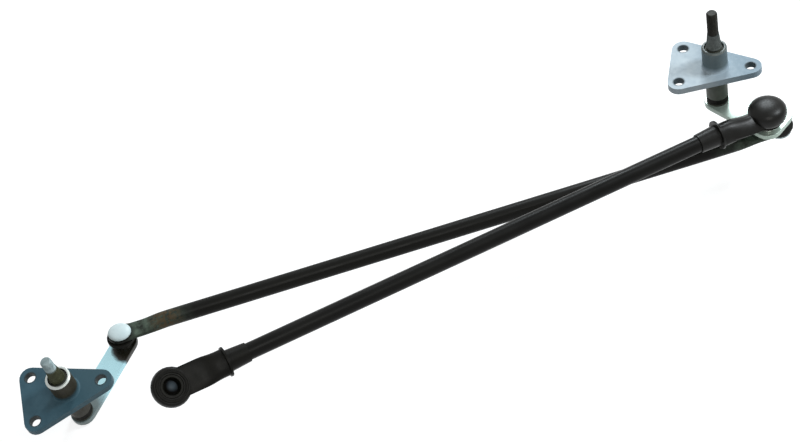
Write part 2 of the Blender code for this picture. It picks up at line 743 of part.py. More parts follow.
def link_rod_tube(name):
    """Tube whose pressed ends are set over towards their ball, up at the near end, down at the far one."""
    near = pressed_end()
    far = [(LINK_ROD_LENGTH - x, wide, high, square, -rise) for x, wide, high, square, rise in reversed(near)]
    tube = loft(name, [oval(*station) for station in near + far])
    hole = LINK_SOCKET_RADIUS + SEAT_GAP
    reach = FLAT_HALF_THICKNESS + CUT_PAST
    for end, x, rise in (("near", 0.0, FLAT_OFFSET), ("far", LINK_ROD_LENGTH, -FLAT_OFFSET)):
        cutter = cylinder(f"{name}.{end}_hole", hole, -reach, reach)
        combine(tube, cutter, "DIFFERENCE")
        cutter.matrix_basis = Matrix.Translation((x, 0.0, rise))
    return finish(tube, "black paint")


def link_socket(name):
    """Plastic ball socket pushed through the pressed end: plate in the XY plane, cap up, mouth down."""
    cap_bottom = FLAT_HALF_THICKNESS + SEAT_GAP
    cap_top = cap_bottom + CAP_HEIGHT
    skirt = -LINK_BALL_DROP - LINK_SOCKET_SKIRT
    mouth_angle = -math.asin(LINK_SOCKET_SKIRT * 0.9 / LINK_CAVITY_RADIUS)
    cavity = arc((0.0, -LINK_BALL_DROP), LINK_CAVITY_RADIUS, mouth_angle, math.pi / 2, 7)
    dome = [(math.sin(math.pi * i / 10), math.cos(math.pi * i / 10)) for i in range(1, 6)]
    profile = [
        (0.0, cap_top),
        *[(CAP_RADIUS * out, cap_bottom + CAP_RIM + (CAP_HEIGHT - CAP_RIM) * up) for out, up in dome],
        (CAP_RADIUS, cap_bottom),
        (LINK_SOCKET_RADIUS, cap_bottom),
        (LINK_SOCKET_RADIUS, skirt),
        (cavity[0][0] + SEAT_GAP, skirt),
        *cavity[:-1],
        (0.0, -LINK_BALL_DROP + LINK_CAVITY_RADIUS),
    ]
    return finish(turned(name, profile), "white plastic")


def link_boot(name):
    """Black bowl under the pressed end, round the skirt of the socket."""
    top = -FLAT_HALF_THICKNESS - SEAT_GAP
    skirt = -LINK_BALL_DROP - LINK_SOCKET_SKIRT
    bottom = -LINK_BALL_DROP - LINK_BOOT_LIP_REACH
    bore = LINK_SOCKET_RADIUS + SEAT_GAP
    lip_bore = LINK_BOOT_LIP_RADIUS - LINK_BOOT_LIP_WALL
    middle = (mix(LINK_BOOT_LIP_RADIUS, LINK_BOOT_RADIUS, 0.66), mix(bottom, top - LINK_BOOT_STRAIGHT, 0.45))
    profile = [
        (LINK_BOOT_RADIUS, top),
        (LINK_BOOT_RADIUS, top - LINK_BOOT_STRAIGHT),
        middle,
        (LINK_BOOT_LIP_RADIUS, bottom),
        (lip_bore, bottom),
        (lip_bore, mix(bottom, skirt, 0.5)),
        (bore, skirt - SEAT_GAP),
        (bore, top),
    ]
    return finish(turned(name, profile, closed=True), "rubber")


def drive_rod(carrier):
    tube = ring(
        "drive_rod_tube",
        DRIVE_TUBE_RADIUS - DRIVE_TUBE_WALL,
        DRIVE_TUBE_RADIUS,
        NECK_BLEND_END,
        DRIVE_ROD_LENGTH - NECK_BLEND_END,
    )
    seat(finish(tube, "black paint"), carrier, Matrix.Rotation(math.pi / 2, 4, "Y"))
    seat(drive_socket("drive_rod_right_socket"), carrier)
    seat(socket_liner("drive_rod_right_liner"), carrier)
    seat(drive_boot("drive_rod_right_boot"), carrier)
    far = Matrix.Translation((DRIVE_ROD_LENGTH, 0.0, 0.0)) @ Matrix.Rotation(math.pi - SOCKET_TWIST, 4, "X")
    far = far @ Matrix.Rotation(math.pi, 4, "Z")
    seat(drive_socket("drive_rod_left_socket"), carrier, far)
    seat(socket_liner("drive_rod_left_liner"), carrier, far)
    seat(mouth_seal("drive_rod_left_seal"), carrier, far)


def link_rod(carrier):
    seat(link_rod_tube("link_rod_tube"), carrier)
    near = Matrix.Translation((0.0, 0.0, FLAT_OFFSET)) @ Matrix.Rotation(math.pi, 4, "X")
    far = Matrix.Translation((LINK_ROD_LENGTH, 0.0, -FLAT_OFFSET))
    for side, local in (("right", near), ("left", far)):
        seat(link_socket(f"link_rod_{side}_socket"), carrier, local)
        seat(link_boot(f"link_rod_{side}_boot"), carrier, local)


def right_lever_pieces(carrier):
    spindle_pieces("right", RIGHT_THREAD_LENGTH, "dark steel", carrier, Matrix())
    stud_x = [RIGHT_LEVER_LENGTH * math.cos(a) for a in (DRIVE_STUD_ANGLE, LINK_STUD_ANGLE)]
    stud_y = [RIGHT_LEVER_LENGTH * math.sin(a) for a in (DRIVE_STUD_ANGLE, LINK_STUD_ANGLE)]
    ends = [
        (0.0, 0.0, RIGHT_LEVER_END_RADIUS),
        (stud_x[0], stud_y[0], RIGHT_LEVER_END_RADIUS),
        (stud_x[1], stud_y[1], RIGHT_LEVER_END_RADIUS),
    ]
    holes = [
        (0.0, 0.0, SPINDLE_SHANK_RADIUS + SEAT_GAP),
        (stud_x[0], stud_y[0], DRIVE_SHANK_RADIUS + SEAT_GAP),
        (stud_x[1], stud_y[1], LINK_SHANK_RADIUS + SEAT_GAP),
    ]
    seat(lever("right_lever", ends, holes, LEVER_TOP), carrier)
    drive_at = Matrix.Translation((stud_x[0], stud_y[0], LEVER_TOP + DRIVE_STUD_HEIGHT))
    seat(drive_stud("right_drive_ball_stud"), carrier, drive_at)
    link_at = Matrix.Translation((stud_x[1], stud_y[1], LEVER_BOTTOM - LINK_STUD_HEIGHT))
    seat(link_stud("right_link_ball_stud"), carrier, link_at @ Matrix.Rotation(math.pi, 4, "X"))
    return drive_at, link_at


def left_lever_pieces(carrier):
    """Pieces round the left ball centre, with the lever along +X."""
    ends = [(0.0, 0.0, LEFT_LEVER_END_RADIUS), (LEFT_LEVER_LENGTH, 0.0, LEFT_LEVER_END_RADIUS)]
    holes = [
        (0.0, 0.0, LINK_SHANK_RADIUS + SEAT_GAP),
        (LEFT_LEVER_LENGTH, 0.0, SPINDLE_SHANK_RADIUS + SEAT_GAP),
    ]
    seat(lever("left_lever", ends, holes, -LINK_STUD_HEIGHT), carrier)
    seat(link_stud("left_link_ball_stud"), carrier)
    foot = Matrix.Translation((LEFT_LEVER_LENGTH, 0.0, -LINK_STUD_HEIGHT - LEVER_TOP))
    spindle_pieces("left", LEFT_THREAD_LENGTH, "steel", carrier, foot)
    return foot


def build():
    """Joint tree: right housing, right lever, the two rods, left lever, left housing."""
    right_housing = frame("right_pivot_frame", Matrix.Rotation(RIGHT_FLANGE_ANGLE, 4, "Z"))
    housing_pieces("right", right_housing)
    right_axis = frame("right_spindle_axis", Matrix())
    drive_at, link_at = right_lever_pieces(right_axis)
    drive_axis = frame("drive_ball_axis", drive_at @ Matrix.Rotation(DRIVE_ROD_ANGLE, 4, "Z"), right_axis)
    drive_rod(drive_axis)
    ball_drop = LINK_BALL_DROP + FLAT_OFFSET
    rod_at = link_at @ Matrix.Translation((0.0, 0.0, -ball_drop)) @ Matrix.Rotation(math.pi, 4, "Z")
    link_axis = frame("link_ball_axis", rod_at, right_axis)
    link_rod(link_axis)
    tilt = Matrix.Rotation(LEFT_TILT_ABOUT_X, 4, "X") @ Matrix.Rotation(LEFT_TILT_ABOUT_Y, 4, "Y")
    undo_half_turn = Matrix.Rotation(math.pi, 4, "Z")
    left_ball = Matrix.Translation((LINK_ROD_LENGTH, 0.0, -ball_drop)) @ undo_half_turn @ tilt
    left_axis = frame("left_ball_axis", left_ball @ Matrix.Rotation(LEFT_LEVER_ANGLE, 4, "Z"), link_axis)
    foot = left_lever_pieces(left_axis)
    turn_back = Matrix.Rotation(LEFT_FLANGE_ANGLE - LEFT_LEVER_ANGLE, 4, "Z")
    housing_pieces("left", frame("left_spindle_axis", foot @ turn_back, left_axis))


clear_scene()
PARTS = new_collection("wiper_linkage")
CUTTERS = new_collection("cutters")
build()
bpy.context.view_layer.update()
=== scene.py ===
"""Looks for the windscreen wiper linkage: materials, smoothed pieces, spindles, floor, lights, camera."""

import json
import math

import bmesh
import bpy
from mathutils import Matrix, Vector


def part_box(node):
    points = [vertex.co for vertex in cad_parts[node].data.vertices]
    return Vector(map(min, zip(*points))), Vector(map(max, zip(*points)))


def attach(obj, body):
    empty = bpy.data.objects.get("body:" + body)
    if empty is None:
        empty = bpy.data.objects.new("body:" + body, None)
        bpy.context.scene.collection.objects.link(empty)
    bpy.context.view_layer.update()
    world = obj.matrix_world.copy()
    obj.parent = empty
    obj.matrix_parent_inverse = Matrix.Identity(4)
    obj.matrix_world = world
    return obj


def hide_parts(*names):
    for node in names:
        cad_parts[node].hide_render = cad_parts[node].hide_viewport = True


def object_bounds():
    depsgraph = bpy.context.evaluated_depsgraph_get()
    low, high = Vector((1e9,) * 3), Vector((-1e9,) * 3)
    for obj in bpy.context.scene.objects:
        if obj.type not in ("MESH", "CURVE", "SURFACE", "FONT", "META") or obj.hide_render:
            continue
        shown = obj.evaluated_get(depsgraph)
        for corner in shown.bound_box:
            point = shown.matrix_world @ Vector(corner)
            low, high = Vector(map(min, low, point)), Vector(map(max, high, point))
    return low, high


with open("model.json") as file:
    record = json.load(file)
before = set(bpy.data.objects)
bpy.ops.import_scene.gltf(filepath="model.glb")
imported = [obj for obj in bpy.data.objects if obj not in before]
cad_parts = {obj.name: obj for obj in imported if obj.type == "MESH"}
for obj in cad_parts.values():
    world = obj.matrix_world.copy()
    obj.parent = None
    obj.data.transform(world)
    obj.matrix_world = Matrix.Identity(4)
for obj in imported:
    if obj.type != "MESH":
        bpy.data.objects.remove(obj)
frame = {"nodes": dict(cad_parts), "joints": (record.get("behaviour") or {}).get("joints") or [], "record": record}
cad_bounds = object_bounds()
nodes = frame["nodes"]
joints = {joint["name"]: joint for joint in frame["joints"]}


# Pivot frames: height is measured along the spindle from the upper face of the flange
RIGHT_FOOT = Vector((0.0, 0.0, 0.0))
RIGHT_AXIS = Vector((0.0, 0.0, 1.0))
LEFT_FOOT = Vector(joints["left_spindle_turn"]["pos_m"])
LEFT_AXIS = Vector(joints["left_spindle_turn"]["axis"]).normalized()
LEFT_BALL = Vector(joints["left_lever_swing"]["pos_m"])
DRIVE_BALL = Vector(joints["drive_rod_swing"]["pos_m"])
LINK_BALL = Vector(joints["link_rod_swing"]["pos_m"])
# Middle of the painted shadow and reflection of the boot on the left lever, from the left ball
STUD_SHADOW_OFFSET = Vector((0.003, -0.004, -0.008))


def middle(node):
    """Centre of the box round a CAD node."""
    low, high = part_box(node)
    return (low + high) / 2


# Bottom of the free cup from the middle of its liner, where the painted highlight sits
CUP_DEPTH = Vector((0.0012, 0.0054, -0.0045))
LEFT_CUP = middle("drive_rod_left_liner") + CUP_DEPTH


# Node helpers
MIX_COLOURS = (6, 7)
MIX_RESULT = 2
NOISE_ROUGHNESS = 0.55


class Shader:
    """One Principled material with short calls for the nodes it needs."""

    def __init__(self, name):
        self.material = bpy.data.materials.new(name)
        self.material.use_nodes = True
        self.tree = self.material.node_tree
        self.surface = self.tree.nodes["Principled BSDF"]
        self.place = self.tree.nodes.new("ShaderNodeTexCoord").outputs["Object"]

    def set(self, **values):
        for socket, value in values.items():
            self.surface.inputs[socket.replace("_", " ")].default_value = value

    def plug(self, source, socket):
        self.tree.links.new(source, self.surface.inputs[socket])

    def wire(self, node, socket, value):
        if isinstance(value, bpy.types.NodeSocket):
            self.tree.links.new(value, node.inputs[socket])
        else:
            node.inputs[socket].default_value = value

    def noise(self, scale, detail=3.0, stretch=None):
        node = self.tree.nodes.new("ShaderNodeTexNoise")
        node.inputs["Scale"].default_value = scale
        node.inputs["Detail"].default_value = detail
        node.inputs["Roughness"].default_value = NOISE_ROUGHNESS
        place = self.place
        if stretch is not None:
            mapping = self.tree.nodes.new("ShaderNodeMapping")
            self.tree.links.new(place, mapping.inputs["Vector"])
            mapping.inputs["Scale"].default_value = stretch
            place = mapping.outputs["Vector"]
        self.tree.links.new(place, node.inputs["Vector"])
        return node.outputs["Fac"]

    def math(self, operation, first, second):
        node = self.tree.nodes.new("ShaderNodeMath")
        node.operation = operation
        self.wire(node, 0, first)
        self.wire(node, 1, second)
        return node.outputs[0]

    def ramp(self, value, low, high, start=0.0, end=1.0):
        node = self.tree.nodes.new("ShaderNodeMapRange")
        self.wire(node, "Value", value)
        node.inputs["From Min"].default_value = low
        node.inputs["From Max"].default_value = high
        node.inputs["To Min"].default_value = start
        node.inputs["To Max"].default_value = end
        node.clamp = True
        return node.outputs["Result"]

    def mix(self, factor, first, second):
        node = self.tree.nodes.new("ShaderNodeMix")
        node.data_type = "RGBA"
        self.wire(node, 0, factor)
        for index, colour in zip(MIX_COLOURS, (first, second)):
            if isinstance(colour, bpy.types.NodeSocket):
                self.tree.links.new(colour, node.inputs[index])
            else:
                node.inputs[index].default_value = (*colour, 1.0)
        return node.outputs[MIX_RESULT]

    def vector(self, operation, first, second=None):
        """Vector Math node fed by a socket and, where it takes one, a fixed vector."""
        node = self.tree.nodes.new("ShaderNodeVectorMath")
        node.operation = operation
        self.tree.links.new(first, node.inputs[0])
        if second is not None:
            node.inputs[1].default_value = second
        return node

    def along(self, origin, axis):
        """Distance of the shaded point from the origin along an axis."""
        offset = self.vector("SUBTRACT", self.place, origin).outputs["Vector"]
        return self.vector("DOT_PRODUCT", offset, axis).outputs["Value"]

    def away(self, origin):
        """Distance of the shaded point from a point."""
        return self.vector("DISTANCE", self.place, origin).outputs["Value"]

    def beside(self, origin, axis):
        """Distance of the shaded point from the line through a point along an axis."""
        offset = self.vector("SUBTRACT", self.place, origin).outputs["Vector"]
        cross = self.vector("CROSS_PRODUCT", offset, axis).outputs["Vector"]
        return self.vector("LENGTH", cross).outputs["Value"]

    def bump(self, height, distance, strength):
        node = self.tree.nodes.new("ShaderNodeBump")
        node.inputs["Strength"].default_value = strength
        node.inputs["Distance"].default_value = distance
        self.wire(node, "Height", height)
        self.plug(node.outputs["Normal"], "Normal")


def bolt_holes(side):
    """Middle points of the three bolt holes of a flange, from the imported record."""
    centres = []
    for opening in frame["record"]["physics"]["openings"]:
        if opening["name"].startswith(side + "_bolt_hole"):
            low, high = opening["box_m"]
            centres.append((Vector(low) + Vector(high)) / 2)
    return centres


# Materials
# Heights over the flange face where a casting's colour changes, with painted shade on the boss and the tube, then
# distances from what is named
BOSS_SHADE_FADE = (0.0012, 0.0050)
TUBE_SHADE_FADE = (-0.0075, -0.0050)
RIM_FADE = (0.01690, 0.01705)
SIDE_SHADE_FADE = (-0.018, 0.018)
BOLT_HOLE_SHADE_FADE = (0.0038, 0.0050)
STUD_SHADOW_FADE = (0.0125, 0.0150)
FLANGE_SHADE_FADE = (0.0130, 0.0240)
DUST_FADE = (0.020, 0.055)
CLEAN_FADE = (0.0085, 0.0120)
RUST_FADE = (0.006, 0.015)
CUP_HIGHLIGHT_FADE = (0.0012, 0.0045)
RUST_OFFSET = Vector((0.034, 0.0, 0.0))
SHADED_ZINC = (0.150, 0.165, 0.155)
STUD_SHADOW = (0.010, 0.009, 0.005)
CUP_HIGHLIGHT = (0.150, 0.200, 0.245)
DUST = (0.092, 0.122, 0.094)
RUST = (0.088, 0.060, 0.030)


def casting(name, side, foot, axis, coat, shaded_side, boss, tube, rim, hole_shade, shine):
    """Cast aluminium: coated flange with painted shade towards one side, in the bolt holes and on the boss and
    tube, and a machined rim.
    """
    shader = Shader(name)
    height = shader.along(foot, axis)
    mottle = shader.ramp(shader.noise(120.0, detail=4.0), 0.35, 0.68)
    upper = shader.ramp(height, *BOSS_SHADE_FADE)
    lower = shader.ramp(height, *TUBE_SHADE_FADE, 1.0, 0.0)
    machined = shader.ramp(height, *RIM_FADE)
    colour = shader.mix(mottle, coat[0], coat[1])
    # Painted shade: the coat is darkened towards +X, standing in for light that falls more on the other side of
    # the flange.
    sideways = shader.along(foot, (1.0, 0.0, 0.0))
    colour = shader.mix(shader.ramp(sideways, *SIDE_SHADE_FADE), colour, shaded_side)
    # Painted shade: the bolt-hole bores and a ring round each are darkened where shade falls in the holes.
    for centre in bolt_holes(side):
        hole_shade_mask = shader.ramp(shader.beside(centre, axis), *BOLT_HOLE_SHADE_FADE, 1.0, 0.0)
        colour = shader.mix(hole_shade_mask, colour, hole_shade)
    # Painted shade: the boss and the tube below the flange take darker colours, standing in for the shade on their
    # sides and under the flange.
    colour = shader.mix(upper, colour, shader.mix(mottle, boss[0], boss[1]))
    colour = shader.mix(lower, colour, shader.mix(mottle, tube[0], tube[1]))
    turning = shader.noise(900.0, detail=2.0)
    colour = shader.mix(machined, colour, shader.mix(turning, rim[0], rim[1]))
    shader.plug(colour, "Base Color")
    shader.plug(shader.math("MULTIPLY", machined, shine), "Metallic")
    shader.set(Specular_IOR_Level=0.3)
    skin = shader.ramp(shader.noise(400.0), 0.3, 0.7, 0.46, 0.64)
    shader.plug(shader.math("SUBTRACT", skin, shader.math("MULTIPLY", machined, 0.15)), "Roughness")
    shader.bump(shader.noise(1600.0, detail=4.0), 0.00012, 0.5)
    return shader.material


def zinc(name, light, dark, shine, stud_shadow_at, flange_shade_at, flange_shade):
    """Bright zinc plate with rolling marks, a painted shadow round one ball stud, and painted shade round the
    spindle.
    """
    shader = Shader(name)
    cloud = shader.noise(60.0, detail=4.0)
    ragged = shader.math("MULTIPLY", shader.noise(260.0, detail=4.0), 0.0030)
    # Painted shadow: a ragged dark patch round a ball stud stands in for the shadow and reflection of the boot on
    # the plate.
    from_stud = shader.math("ADD", shader.away(stud_shadow_at), ragged)
    stud_shadow = shader.ramp(from_stud, *STUD_SHADOW_FADE, 1.0, 0.0)
    # Painted shade: round the spindle the plate is darkened and made less metallic, standing in for the flange's
    # shade and its dark underside reflected in the plate.
    from_washer = shader.math("ADD", shader.away(flange_shade_at), ragged)
    wear_and_shade = shader.ramp(from_washer, *FLANGE_SHADE_FADE, flange_shade, 0.0)
    colour = shader.mix(wear_and_shade, shader.mix(cloud, dark, light), SHADED_ZINC)
    colour = shader.mix(stud_shadow, colour, STUD_SHADOW)
    shader.plug(colour, "Base Color")
    plain = shader.math("MAXIMUM", stud_shadow, wear_and_shade)
    shader.plug(shader.ramp(plain, 0.0, 1.0, shine, 0.0), "Metallic")
    grain = shader.noise(300.0, stretch=(1.0, 9.0, 4.0))
    shader.plug(shader.ramp(grain, 0.3, 0.7, 0.24, 0.36), "Roughness")
    shader.bump(grain, 0.00004, 0.15)
    return shader.material


def steel(name, light, dark, roughness, metallic=0.9, level=0.5):
    """Plain machined or phosphated steel."""
    shader = Shader(name)
    stain = shader.noise(260.0, detail=5.0)
    shader.plug(shader.mix(shader.ramp(stain, 0.35, 0.65), dark, light), "Base Color")
    shader.set(Metallic=metallic, Specular_IOR_Level=level)
    shader.plug(shader.ramp(shader.noise(900.0), 0.3, 0.7, roughness - 0.07, roughness + 0.09), "Roughness")
    shader.bump(shader.noise(2500.0), 0.00005, 0.4)
    return shader.material


def spindle_steel(name, foot, axis, change, thread, cone):
    """Spindle steel whose thread and cone carry different finishes, changing at a height."""
    shader = Shader(name)
    height = shader.along(foot, axis)
    upper = shader.ramp(height, change - 0.0002, change + 0.0002)
    stain = shader.ramp(shader.noise(300.0, detail=5.0), 0.35, 0.65)
    wear_and_shade = shader.mix(stain, cone[0], cone[1])
    dark = shader.mix(stain, thread[0], thread[1])
    shader.plug(shader.mix(upper, wear_and_shade, dark), "Base Color")
    shader.set(Metallic=0.3, Specular_IOR_Level=0.2)
    shader.plug(shader.ramp(shader.noise(900.0), 0.3, 0.7, 0.40, 0.56), "Roughness")
    shader.bump(shader.noise(2400.0), 0.00005, 0.5)
    return shader.material


def rod_paint(name, scale, stretch, dark, light, roughness, level, worn_ends=()):
    """Black satin paint on steel tube, with dust near its rubbed ends and rust where the first is pressed."""
    shader = Shader(name)
    tone = shader.noise(scale, detail=4.0, stretch=stretch)
    colour = shader.mix(shader.ramp(tone, 0.35, 0.7), dark, light)
    for centre in worn_ends:
        from_ball = shader.away(centre)
        near = shader.ramp(from_ball, *DUST_FADE, 1.0, 0.0)
        near = shader.math("MULTIPLY", near, shader.ramp(from_ball, *CLEAN_FADE))
        dust = shader.math("MULTIPLY", near, shader.ramp(shader.noise(170.0, detail=5.0), 0.30, 0.62))
        colour = shader.mix(dust, colour, DUST)
    if worn_ends:
        patch = shader.ramp(shader.away(worn_ends[0] + RUST_OFFSET), *RUST_FADE, 1.0, 0.0)
        ragged = shader.ramp(shader.noise(420.0, detail=5.0), 0.42, 0.54)
        colour = shader.mix(shader.math("MULTIPLY", patch, ragged), colour, RUST)
    shader.plug(colour, "Base Color")
    shader.plug(shader.ramp(shader.noise(55.0, detail=4.0), 0.3, 0.7, *roughness), "Roughness")
    shader.set(Specular_IOR_Level=level)
    shader.bump(shader.noise(700.0), 0.00008, 0.35)
    return shader.material


def moulded(name, light, dark, roughness, level=0.3, highlight_at=None):
    """Moulded plastic with a fine spark-eroded skin, and a painted highlight in an open cup, which is also made
    glossier.
    """
    shader = Shader(name)
    haze = shader.noise(90.0, detail=4.0)
    colour = shader.mix(shader.ramp(haze, 0.35, 0.68), dark, light)
    skin = shader.ramp(shader.noise(240.0, detail=4.0), 0.3, 0.7, roughness - 0.05, roughness + 0.06)
    if highlight_at is not None:
        # Painted highlight: a bluish spot at the bottom of the open cup, where the roughness is also lowered.
        cup_highlight = shader.ramp(shader.away(highlight_at), *CUP_HIGHLIGHT_FADE, 1.0, 0.0)
        colour = shader.mix(cup_highlight, colour, CUP_HIGHLIGHT)
        skin = shader.math("SUBTRACT", skin, shader.math("MULTIPLY", cup_highlight, 0.08))
    shader.plug(colour, "Base Color")
    shader.plug(skin, "Roughness")
    shader.set(Specular_IOR_Level=level)
    shader.bump(shader.noise(1800.0), 0.00007, 0.4)
    return shader.material


def rubber(name):
    """Dull black rubber with a faint bloom."""
    shader = Shader(name)
    bloom = shader.noise(200.0, detail=4.0)
    colour = shader.mix(shader.ramp(bloom, 0.4, 0.7), (0.005, 0.005, 0.004), (0.011, 0.010, 0.008))
    shader.plug(colour, "Base Color")
    shader.set(Specular_IOR_Level=0.12)
    shader.plug(shader.ramp(shader.noise(500.0), 0.3, 0.7, 0.58, 0.78), "Roughness")
    shader.bump(shader.noise(1500.0), 0.00008, 0.5)
    return shader.material


# The two castings are one cast part: the right coat is painted pale and the left dark, standing in for a
# reflection that lights only the right flange; on both the boss and tube colours are painted shade, and the left
# boss's brown is partly a stain.
RIGHT_CASTING = casting(
    "right casting",
    "right",
    RIGHT_FOOT,
    RIGHT_AXIS,
    ((0.37, 0.44, 0.49), (0.45, 0.52, 0.56)),
    (0.215, 0.29, 0.345),
    ((0.102, 0.142, 0.158), (0.132, 0.172, 0.182)),
    ((0.060, 0.070, 0.056), (0.090, 0.100, 0.085)),
    ((0.070, 0.085, 0.082), (0.105, 0.120, 0.115)),
    (0.065, 0.090, 0.105),
    0.1,
)
LEFT_CASTING = casting(
    "left casting",
    "left",
    LEFT_FOOT,
    LEFT_AXIS,
    ((0.034, 0.088, 0.120), (0.050, 0.114, 0.150)),
    (0.043, 0.096, 0.122),
    ((0.022, 0.019, 0.010), (0.036, 0.031, 0.018)),
    ((0.016, 0.015, 0.009), (0.028, 0.026, 0.017)),
    ((0.46, 0.50, 0.48), (0.60, 0.63, 0.60)),
    (0.016, 0.026, 0.028),
    0.6,
)
# The levers are one zinc plate: the right one gets a darker, greener tone than the left, standing in for the shade
# of the flange and the dome over it.
RIGHT_ZINC = zinc(
    "right zinc",
    (0.46, 0.56, 0.49),
    (0.38, 0.48, 0.42),
    0.25,
    LINK_BALL,
    middle("right_thrust_washer"),
    0.2,
)
LEFT_ZINC = zinc(
    "left zinc",
    (0.48, 0.78, 0.84),
    (0.40, 0.64, 0.72),
    0.85,
    LEFT_BALL + STUD_SHADOW_OFFSET,
    middle("left_thrust_washer"),
    0.85,
)
WASHER_STEEL = steel("washer steel", (0.060, 0.064, 0.050), (0.030, 0.032, 0.024), 0.55, 0.1, 0.2)
STUD_STEEL = steel("stud steel", (0.66, 0.66, 0.63), (0.52, 0.52, 0.50), 0.24)
BUSH_BRONZE = steel("bush bronze", (0.48, 0.35, 0.18), (0.34, 0.24, 0.12), 0.42)
LINK_PAINT = rod_paint(
    "link rod paint",
    18.0,
    (0.35, 1.0, 1.0),
    (0.0030, 0.0032, 0.0024),
    (0.0070, 0.0068, 0.0054),
    (0.30, 0.44),
    0.10,
    (LEFT_BALL, LINK_BALL),
)
DRIVE_PAINT = rod_paint(
    "drive rod paint", 14.0, None, (0.0016, 0.0018, 0.0014), (0.0042, 0.0041, 0.0032), (0.28, 0.40), 0.11
)
RIGHT_SOCKET_PLASTIC = moulded(
    "right socket plastic", (0.0036, 0.0036, 0.0026), (0.0018, 0.0018, 0.0012), 0.35, 0.19
)
LEFT_SOCKET_PLASTIC = moulded(
    "left socket plastic", (0.0040, 0.0038, 0.0024), (0.0020, 0.0020, 0.0012), 0.40, 0.11, highlight_at=LEFT_CUP
)
LINER_PLASTIC = moulded("liner plastic", (0.005, 0.005, 0.003), (0.003, 0.003, 0.002), 0.40, 0.10)
WHITE_NYLON = moulded("white nylon", (0.68, 0.79, 0.80), (0.60, 0.72, 0.74), 0.40)
RUBBER = rubber("black rubber")
CONE_TOP = 0.0308
RIGHT_SPINDLE_STEEL = spindle_steel(
    "right spindle steel",
    RIGHT_FOOT,
    RIGHT_AXIS,
    CONE_TOP,
    ((0.005, 0.005, 0.003), (0.012, 0.0115, 0.008)),
    ((0.085, 0.098, 0.094), (0.140, 0.156, 0.150)),
)
LEFT_SPINDLE_STEEL = spindle_steel(
    "left spindle steel",
    LEFT_FOOT,
    LEFT_AXIS,
    CONE_TOP,
    ((0.20, 0.26, 0.27), (0.34, 0.42, 0.43)),
    ((0.036, 0.040, 0.018), (0.075, 0.080, 0.040)),
)

NODE_MATERIALS = {
    "right_pivot_housing": RIGHT_CASTING,
    "left_pivot_housing": LEFT_CASTING,
    "right_lever": RIGHT_ZINC,
    "left_lever": LEFT_ZINC,
    "right_thrust_washer": WASHER_STEEL,
    "left_thrust_washer": WASHER_STEEL,
    "right_top_washer": WASHER_STEEL,
    "left_top_washer": WASHER_STEEL,
    "right_circlip": WASHER_STEEL,
    "left_circlip": WASHER_STEEL,
    "right_upper_bush": BUSH_BRONZE,
    "right_lower_bush": BUSH_BRONZE,
    "left_upper_bush": BUSH_BRONZE,
    "left_lower_bush": BUSH_BRONZE,
    "right_drive_ball_stud": STUD_STEEL,
    "right_link_ball_stud": STUD_STEEL,
    "left_link_ball_stud": STUD_STEEL,
    "link_rod_tube": LINK_PAINT,
    "drive_rod_tube": DRIVE_PAINT,
    "drive_rod_right_socket": RIGHT_SOCKET_PLASTIC,
    "drive_rod_left_socket": LEFT_SOCKET_PLASTIC,
    "drive_rod_right_liner": LINER_PLASTIC,
    "drive_rod_left_liner": LINER_PLASTIC,
    "link_rod_left_socket": WHITE_NYLON,
    "link_rod_right_socket": WHITE_NYLON,
}


# Finished pieces: each CAD shape with its edges rounded and its curved faces smoothed
CAST_EDGE = 0.0005
SOCKET_EDGE = 0.0003
FINE_EDGE = 0.00012
EDGE_ROUNDS = {
    "right_pivot_housing": CAST_EDGE,
    "left_pivot_housing": CAST_EDGE,
    "drive_rod_right_socket": SOCKET_EDGE,
    "drive_rod_left_socket": SOCKET_EDGE,
}
SHARP_ANGLE = math.radians(36)
MERGE_DISTANCE = 0.000002
FLAT_ANGLE = math.radians(0.4)


def finished(name, body):
    """Smooth copy of a CAD node in its place, with rounded edges."""
    node = nodes[name]
    shape = bmesh.new()
    shape.from_mesh(node.data)
    bmesh.ops.remove_doubles(shape, verts=shape.verts, dist=MERGE_DISTANCE)
    bmesh.ops.dissolve_limit(shape, angle_limit=FLAT_ANGLE, verts=shape.verts, edges=shape.edges)
    mesh = bpy.data.meshes.new(name + "_finished")
    shape.to_mesh(mesh)
    shape.free()
    mesh.shade_smooth()
    piece = bpy.data.objects.new(name + "_finished", mesh)
    bpy.context.scene.collection.objects.link(piece)
    edge = piece.modifiers.new("edge", "BEVEL")
    edge.width = EDGE_ROUNDS.get(name, FINE_EDGE)
    edge.segments = 2
    edge.limit_method = "ANGLE"
    edge.angle_limit = SHARP_ANGLE
    piece.modifiers.new("shading", "WEIGHTED_NORMAL").weight = 100
    mesh.materials.append(NODE_MATERIALS.get(name, RUBBER))
    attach(piece, body)
    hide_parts(name)


SPINDLES = ("right_spindle", "left_spindle")
for body, members in frame["record"]["behaviour"]["bodies"].items():
    for name in members:
        if name not in SPINDLES:
            finished(name, body)


# Spindle ends with a rolled thread and a knurled cone
def grid(shape, rows):
    """Closed skin through rings of equal length, capped at both ends."""
    rings = [[shape.verts.new(point) for point in row] for row in rows]
    count = len(rings[0])
    for upper, lower in zip(rings, rings[1:]):
        for i in range(count):
            j = (i + 1) % count
            shape.faces.new((upper[i], lower[i], lower[j], upper[j]))
    shape.faces.new(rings[0])
    shape.faces.new(list(reversed(rings[-1])))


def turn(radius_at, height, count):
    """One ring, its radius given by a function of the angle in turns."""
    ring = []
    for i in range(count):
        share = i / count
        radius = radius_at(share)
        angle = math.tau * share
        ring.append(Vector((radius * math.cos(angle), radius * math.sin(angle), height)))
    return ring


def wave(share):
    """Triangle wave between 0 and 1."""
    share = share % 1.0
    return 1.0 - abs(2.0 * share - 1.0)


